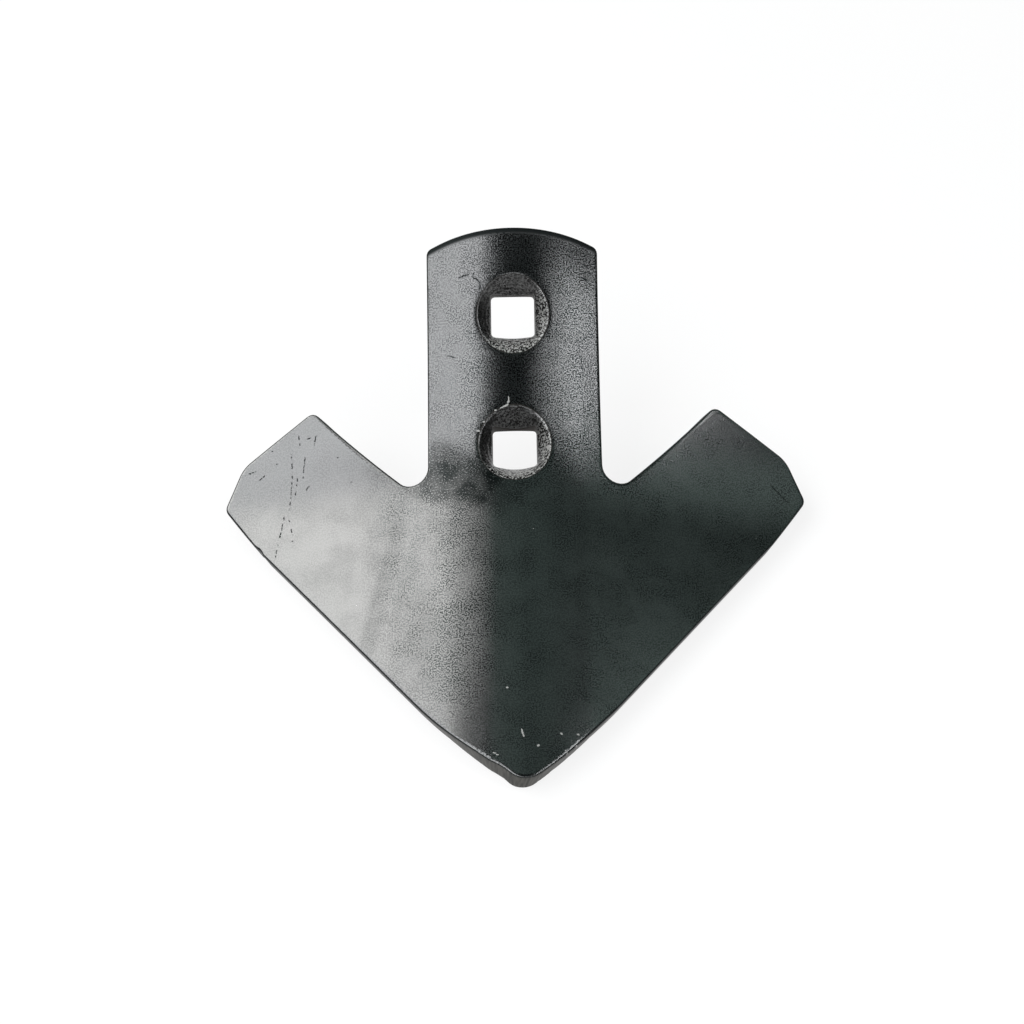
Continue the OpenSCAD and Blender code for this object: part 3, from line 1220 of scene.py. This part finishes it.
class PaintCoat:
    """The coat of black paint on the plate, as shader nodes."""

    def __init__(self, paint: BlackPaint, sizes: SweepSizes) -> None:
        """Reads what the plate's mesh carries and marks out its regions.

        Args:
            paint: Values of the paint.
            sizes: Driving sizes of the sweep.
        """
        self.paint = paint
        self.sizes = sizes
        self.tree = ShaderTree(paint.name)
        self.blank = self._layer(Layer.BLANK, "Vector")
        self.flat = self.tree.vector("MULTIPLY", {0: self.blank, 1: (1.0, 1.0, 0.0)})
        self.across, self.along, depth = (
            self.tree.signal("ShaderNodeSeparateXYZ", {}, {0: self.blank}, axis) for axis in "XYZ"
        )
        seat = Signal(self.tree, self._layer(Layer.BOLT_SEAT, "Fac"))
        self.cone = seat.step(*paint.cone_level)
        self.bore = seat.step(*paint.bore_level) - self.cone
        self.edge = Signal(self.tree, self._layer(Layer.CUT_EDGE, "Fac"))
        self.rim = self.edge.step(*paint.rim_level)
        self.upper = depth.step(*paint.face_depth).or_more(self.cone)
        self.left = self.across.step(*paint.left_wing)
        self.wing = self.left.or_more(self.across.step(*paint.right_wing))
        self.tang = self.along.step(*paint.tang_start)
        self.peel = paint.peel.noise(self.tree, self.blank)
        self.lumps = paint.lumps.noise(self.tree, self.blank)

    def material(self) -> bpy.types.Material:
        """Builds the paint's nodes.

        Returns:
            The material.
        """
        paint = self.paint
        neck = self._neck_shade()
        coarse = self._coarse(neck)
        bent, broken = self._wandering()
        groove = self._grooves(bent, broken)
        # Chips and dust, with painted highlights on the countersink walls
        chip_and_glint = self._chips_and_glints(bent)
        pits = self._pits(neck, coarse)
        bare = self._bare()
        dull = self.rim.or_more(groove, chip_and_glint, self.bore)
        # Metallic darkens the rolled rims, most on the tang: painted shade along the edges
        rear_rim_shade = self.wing.blend(paint.tang_rim_dark, paint.wing_rim_dark)
        rim_shade = self.rim * self.tang.blend(paint.body_rim_dark, rear_rim_shade)
        relief = {"Height": self._height(coarse), "Distance": MM, "Strength": 1.0}
        bump = self.tree.node("ShaderNodeBump", {}, relief)
        coat = self.tree.node(
            "ShaderNodeBsdfPrincipled",
            {},
            {
                "Base Color": self._colour(bare, chip_and_glint),
                "Metallic": pits.or_more(rim_shade, bare, self.bore, groove) - chip_and_glint,
                "Roughness": self._roughness(dull),
                "Specular IOR Level": paint.specular,
                "Coat Weight": paint.haze * (1.0 - pits) * (1.0 - dull),
                "Coat Roughness": paint.haze_roughness,
                "Normal": bump.outputs["Normal"],
            },
        )
        self.tree.node("ShaderNodeOutputMaterial", {}, {"Surface": coat.outputs["BSDF"]})
        return self.tree.material

    def _layer(self, layer: Layer, output: str) -> bpy.types.NodeSocket:
        """Reads a value that the mesh carries."""
        node = self.tree.node("ShaderNodeAttribute", {"attribute_name": layer.value}, {})
        return node.outputs[output]

    def _neck_shade(self) -> Signal:
        """Marks out the band that slants across the left of the neck, where extra pits paint the
        shade of its bend.

        Returns:
            Up to 1 in the band and 0 away from it.
        """
        paint = self.paint
        slant = self.along + paint.neck_slant * self.across
        band = slant.step(*paint.neck_front) * slant.step(*paint.neck_back)
        return band * self.across.step(*paint.neck_left) * self.across.step(*paint.neck_right)

    def _coarse(self, neck: Signal) -> Signal:
        """Marks out the coarse peel: the ridge, the tang's middle and right, and the neck.

        Args:
            neck: Where the pitted band of painted shade at the neck's bend is.

        Returns:
            1 where the peel is coarsest and 0 where it is fine.
        """
        paint = self.paint
        ridge = paint.ridge_coarse * self.across.step(*paint.ridge_left)
        ridge = ridge * self.across.step(*paint.ridge_right) * self.along.step(*paint.ridge_front)
        right = self.across.step(*paint.tang_right) * (1.0 - self.wing)
        return self.tang.blend(ridge, right).or_more(neck)

    def _bare(self) -> Signal:
        """Works out where the cut edge is worn to the steel.

        Returns:
            Up to 1 on bare steel and 0 elsewhere.
        """
        paint = self.paint
        worn = paint.left_edge_wear * self.across.step(*paint.left_edge)
        worn = worn * self.along.step(*paint.left_edge_end)
        wall = self.edge.step(*paint.wall_level)
        return wall * self.along.step(*paint.nose_wall).or_more(worn)

    def _wandering(self) -> tuple[bpy.types.NodeSocket, Signal]:
        """Bends the blank coordinates a little, so that straight strokes wander.

        Returns:
            The bent coordinates u and s, and the stretches that are left of a broken scratch.
        """
        paint = self.paint
        sockets = {"Vector": self.blank, "Scale": paint.breaks_per_mm}
        drift = self.tree.node("ShaderNodeTexNoise", {}, sockets)
        reach = Vector((paint.wander, paint.wander, 0.0))
        shift = {0: drift.outputs["Color"], 1: reach, 2: -reach / 2}
        bent = {0: self.flat, 1: self.tree.vector("MULTIPLY_ADD", shift)}
        broken = Signal(self.tree, drift.outputs["Fac"]).step(*paint.break_level)
        return self.tree.vector("ADD", bent), broken

    def _grooves(self, bent: bpy.types.NodeSocket, broken: Signal) -> Signal:
        """Draws the dark scratches and cracks.

        Args:
            bent: Bent blank coordinates u and s.
            broken: The stretches that are left of a scratch on the left wing.

        Returns:
            1 in a scratch and 0 elsewhere.
        """
        paint = self.paint
        groove = paint.grooves.cover(self.tree, bent) * self.upper
        groove = groove * self.peel.step(*paint.peel.fade)
        return groove * self.left.blend(1.0, broken)

    def _chips_and_glints(self, bent: bpy.types.NodeSocket) -> Signal:
        """Draws the pale chips and the dust, and paints highlights as bright specks in the
        countersinks.

        Args:
            bent: Bent blank coordinates u and s.

        Returns:
            Up to 1 in a chip, a speck of dust or a painted highlight, and 0 elsewhere.
        """
        marks = self.paint.chips.cover(self.tree, bent).or_more(self._dust()) * self.upper
        # Painted highlights on the front and right walls of the countersinks
        return marks.or_more(self.cone * self._glints())

    def _dust(self) -> Signal:
        """Scatters pale specks of dust.

        Returns:
            Up to 1 in a speck and 0 elsewhere.
        """
        paint = self.paint
        sockets = {"Vector": self.blank, "Scale": paint.dust_per_mm}
        cells = self.tree.node("ShaderNodeTexVoronoi", {}, sockets)
        chance = self.tree.signal("ShaderNodeSeparateColor", {}, {0: cells.outputs["Color"]})
        away = Signal(self.tree, cells.outputs["Distance"])
        speck = away.step(paint.dust_cell_share, paint.dust_cell_share / 2)
        return speck * chance.step(*paint.dust_chance)

    def _glints(self) -> Signal:
        """Paints highlights on the high spots of the paint on the front and right walls of the
        countersinks.

        Returns:
            Up to 1 on a painted highlight and 0 elsewhere.
        """
        paint = self.paint
        middle = self.sizes.lower_hole + self.sizes.hole_pitch / 2
        upper_seat = self.along.step(middle, middle + paint.seat_change_l)
        offset = self.along - self.sizes.lower_hole - self.sizes.hole_pitch * upper_seat
        side = paint.glint_side * self.across.step(*paint.glint_right)
        wall = offset.step(*paint.glint_front).or_more(side)
        return paint.glint * wall * self.lumps.step(*paint.lumps.fade)

    def _pits(self, neck: Signal, coarse: Signal) -> Signal:
        """Works out how dark the grain, the clouds and the painted shade along the dents make the
        paint.

        Args:
            neck: Where the pitted band of painted shade at the neck's bend is.
            coarse: Where the peel is coarse.

        Returns:
            About 0 in clear paint and 1 in the darkest pits.
        """
        paint = self.paint
        # The neck's band gets extra pits: painted shade of the bend
        grain = self.cone.blend(self.peel, self.lumps) - paint.neck_shade_pits * neck
        fine = self.left.blend(paint.fine_dark, paint.wing_dark)
        dark = self.cone.blend(coarse.blend(fine, paint.coarse_dark), paint.seat_dark)
        blotch = paint.blotches.cover(self.tree, self.blank)
        dark = grain.step(*paint.pit_level) * dark
        dark = dark * blotch.blend(paint.blotch_least, paint.blotch_most)
        cloud = paint.clouds.cover(self.tree, self.blank) - paint.cloud_middle
        dark = dark + self.tang.blend(paint.cloud_dark, paint.tang_cloud_dark) * cloud
        # Painted shade along the dents of the press marks
        dent_shade = paint.dent_shades.cover(self.tree, self.flat) * self.upper
        return dark + paint.dent_shade_dark * dent_shade

    def _colour(self, bare: Signal, chip_and_glint: Signal) -> bpy.types.NodeSocket:
        """Mixes the paint's colour with those of its worn places and of its painted highlights.

        Args:
            bare: Where the cut edge is worn to the steel.
            chip_and_glint: Where the chips, the dust and the painted highlights are.

        Returns:
            The output with the colour.
        """
        paint = self.paint
        upright = self.tree.vector("MULTIPLY", {0: self.blank, 1: (1.0, 1.0, paint.streak_squash)})
        streak = paint.streaks.cover(self.tree, upright)
        places = (
            # Painted shade: the bore walls of the holes are near-black
            (self.bore, paint.bore_shade_colour),
            (bare * streak.blend(paint.streak_least, 1.0), paint.steel_colour),
            (self.cone, paint.seat_colour),
            # Chips and dust share one pale colour with the painted highlights of the countersinks
            (chip_and_glint, paint.chip_and_glint_colour),
        )
        colour = (*paint.colour, 1.0)
        for share, worn_colour in places:
            colour = self.tree.mixed(share, colour, (*worn_colour, 1.0))
        return colour

    def _roughness(self, dull: Signal) -> Signal:
        """Works out how far the gloss is lost.

        Args:
            dull: Where the paint is worn or missing.

        Returns:
            The roughness.
        """
        paint = self.paint
        smudge = paint.smudges.cover(self.tree, self.blank)
        gloss = paint.roughness + paint.smudge_roughness * smudge
        return dull.blend(self.cone.blend(gloss, paint.seat_roughness), paint.dull_roughness)

    def _height(self, coarse: Signal) -> Signal:
        """Works out the relief of the peel and of the countersinks.

        Args:
            coarse: Where the peel is coarse.

        Returns:
            The height in millimetres.
        """
        paint = self.paint
        lumpy = coarse.or_more(paint.flank_coarse * self.across.step(*paint.right_flank))
        return lumpy.blend(paint.fine_h, paint.coarse_h) * self.peel + self._turning()

    def _turning(self) -> Signal:
        """Adds the turning marks and the coarse paint of the countersinks.

        Returns:
            The height in millimetres, which is 0 outside the countersinks.
        """
        paint = self.paint
        lower = (0.0, self.sizes.lower_hole, 0.0)
        upper = (0.0, self.sizes.lower_hole + self.sizes.hole_pitch, 0.0)
        reaches = [
            Signal(self.tree, self.tree.vector("DISTANCE", {0: self.flat, 1: centre}))
            for centre in (lower, upper)
        ]
        radius = reduce(Signal.or_less, reaches)
        rings = (radius * (2 * math.pi / paint.turning_pitch)).sine()
        return self.cone * (paint.turning_h * rings + paint.seat_grain_h * self.lumps)


@dataclass(frozen=True)
class PaleFloor:
    """Matt white that shows near white and keeps a soft shadow."""

    name: str = "pale_floor"
    colour: Colour = (0.9, 0.9, 0.9)
    glow: float = 0.82

    def material(self) -> bpy.types.Material:
        """Builds the nodes of the floor and the backdrop.

        Returns:
            The material.
        """
        tree = ShaderTree(self.name)
        path = tree.node("ShaderNodeLightPath", {}, {})
        rays = ("Is Camera Ray", "Is Glossy Ray", "Is Transmission Ray")
        seen = reduce(Signal.__add__, (Signal(tree, path.outputs[ray]) for ray in rays))
        matt = tree.node("ShaderNodeBsdfDiffuse", {}, {"Color": (*self.colour, 1.0)})
        white = tree.node("ShaderNodeEmission", {}, {"Color": WHITE, "Strength": 1.0})
        mixed = tree.node(
            "ShaderNodeMixShader",
            {},
            {0: seen * self.glow, 1: matt.outputs[0], 2: white.outputs[0]},
        )
        tree.node("ShaderNodeOutputMaterial", {}, {"Surface": mixed.outputs[0]})
        return tree.material


@dataclass(frozen=True)
class TubeBank:
    """A bank of flat tube lights that hangs level above the sweep, in metres."""

    name: str
    centre: Place
    size: Span
    tubes: int
    radiance: Span
    colour: Colour
    fill: float = 1.0
    turn: float = 0.0
    height: float = 1.22

    def hang(self) -> None:
        """Adds the tubes, whose light goes evenly from that of the first to that of the last."""
        wide, deep = self.size
        first, last = self.radiance
        turn = Matrix.Rotation(math.radians(self.turn), 4, "Z")
        hook = Matrix.Translation((*self.centre, self.height)) @ turn
        for tube in range(self.tubes):
            share = (tube + 0.5) / self.tubes
            data = bpy.data.lights.new(f"{self.name}_{tube}", "AREA")
            data.shape = "RECTANGLE"
            data.size = self.fill * wide / self.tubes
            data.size_y = deep
            data.energy = (first + share * (last - first)) / self.fill * LIGHT_W * data.size * deep
            data.color = self.colour
            light = add_object(data.name, data)
            light.matrix_world = hook @ Matrix.Translation(((share - 0.5) * wide, 0.0, 0.0))


@dataclass
class Studio:
    """Floor, lights and camera."""

    floor: PaleFloor = PaleFloor()
    floor_r: float = 12.0
    floor_sides: int = 96
    world_grey: float = 0.02
    target: tuple[float, float, float] = (-0.001014, 0.003702, 0.020)
    elevation: float = 45.0
    yaw: float = -0.377
    roll: float = -0.568
    distance: float = 0.6
    lens: float = 83.08
    backdrop_size: Span = (4.0, 2.0)
    backdrop_y: float = 3.0
    lights: tuple[TubeBank, ...] = (
        TubeBank("front_left", (-0.945, -0.52), (1.23, 1.36), 1, (3.6, 3.6), COOL),
        TubeBank("side_left", (-1.21, 0.255), (0.70, 0.19), 1, (3.45, 3.45), COOL),
        TubeBank("rear_left", (-1.45, 0.66), (1.00, 0.62), 1, (4.7, 4.7), WARM),
        TubeBank("rear_left_edge", (-0.61, 0.63), (0.68, 0.70), 9, (4.9, 0.8), WARM),
        TubeBank("front_right", (0.715, -0.31), (0.68, 0.85), 6, (1.5, 4.8), COOL, 0.45, 25.4),
        TubeBank("side_right", (1.23, 0.31), (0.82, 0.26), 1, (0.4, 0.4), GREENISH),
        TubeBank("rear_right", (0.67, 0.48), (1.90, 0.76), 6, (0.33, 0.0), GREENISH, height=1.20),
        TubeBank("front", (-0.10, -1.75), (2.60, 1.00), 1, (2.2, 2.2), COOL),
    )

    def build(self) -> None:
        """Sets the floor, the lights, the world and the camera."""
        pale = self.floor.material()
        self._lay_floor(pale)
        self._raise_backdrop(pale)
        for light in self.lights:
            light.hang()
        self._set_world()
        self._set_camera()

    def _lay_floor(self, pale: bpy.types.Material) -> None:
        """Lays a round floor under the sweep.

        Args:
            pale: Material of the floor.
        """
        mesh = bmesh.new()
        bmesh.ops.create_circle(mesh, cap_ends=True, radius=self.floor_r, segments=self.floor_sides)
        self._stage("floor", mesh, pale)

    def _raise_backdrop(self, pale: bpy.types.Material) -> None:
        """Stands a flat backdrop behind the sweep.

        Args:
            pale: Material of the backdrop.
        """
        width, height = self.backdrop_size
        place = Matrix.Translation((0.0, self.backdrop_y, height / 2))
        halves = Matrix.Diagonal((width / 2, height / 2, 1.0, 1.0))
        upright = place @ Matrix.Rotation(math.pi / 2, 4, "X") @ halves
        mesh = bmesh.new()
        bmesh.ops.create_grid(mesh, x_segments=1, y_segments=1, size=1.0, matrix=upright)
        self._stage("backdrop", mesh, pale)

    @staticmethod
    def _stage(name: str, mesh: BMesh, pale: bpy.types.Material) -> None:
        """Adds a piece of the studio that isn't part of the sweep.

        Args:
            name: Name of the piece.
            mesh: Its shape, which is freed.
            pale: Its material.
        """
        piece = add_piece(name, mesh)
        piece.data.materials.append(pale)

    def _set_world(self) -> None:
        """Fills the room with a dim even grey."""
        world = bpy.data.worlds.new("studio")
        world.use_nodes = True
        back = world.node_tree.nodes["Background"]
        back.inputs["Color"].default_value = (self.world_grey,) * 3 + (1.0,)
        bpy.context.scene.world = world

    def _set_camera(self) -> None:
        """Stands the camera in front of the nose, looking down."""
        tilt, yaw, roll = (math.radians(a) for a in (self.elevation, self.yaw, self.roll))
        back = Vector(
            (math.sin(yaw) * math.cos(tilt), -math.cos(yaw) * math.cos(tilt), math.sin(tilt))
        )
        right = Vector((math.cos(yaw), math.sin(yaw), 0))
        facing = Matrix((right, back.cross(right), back)).transposed()
        turned = facing @ Matrix.Rotation(roll, 3, "Z")
        data = bpy.data.cameras.new("camera")
        data.lens = self.lens
        camera = add_object("camera", data)
        place = Matrix.Translation(Vector(self.target) + self.distance * back)
        camera.matrix_world = place @ turned.to_4x4()
        bpy.context.scene.camera = camera


def main() -> None:
    """Builds the sweep and the studio, and logs how many faces the dressed part has."""
    logging.basicConfig(level=logging.INFO, format="%(name)s: %(message)s")
    bpy.context.scene.view_settings.view_transform = "Standard"
    sizes = SweepSizes()
    press = Press(sizes)
    outline = BlankOutline(sizes)
    plate = PressedPlate(sizes, press, outline, Relief(sizes, outline))
    piece = plate.build()
    plate.dress(piece, BlackPaint())
    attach(piece, "root")
    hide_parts("sweep")
    LOG.info("%s has %d faces", piece.name, len(piece.data.polygons))
    Studio().build()
    LOG.info("floor, lights and camera are set")


if __name__ == "__main__":
    main()
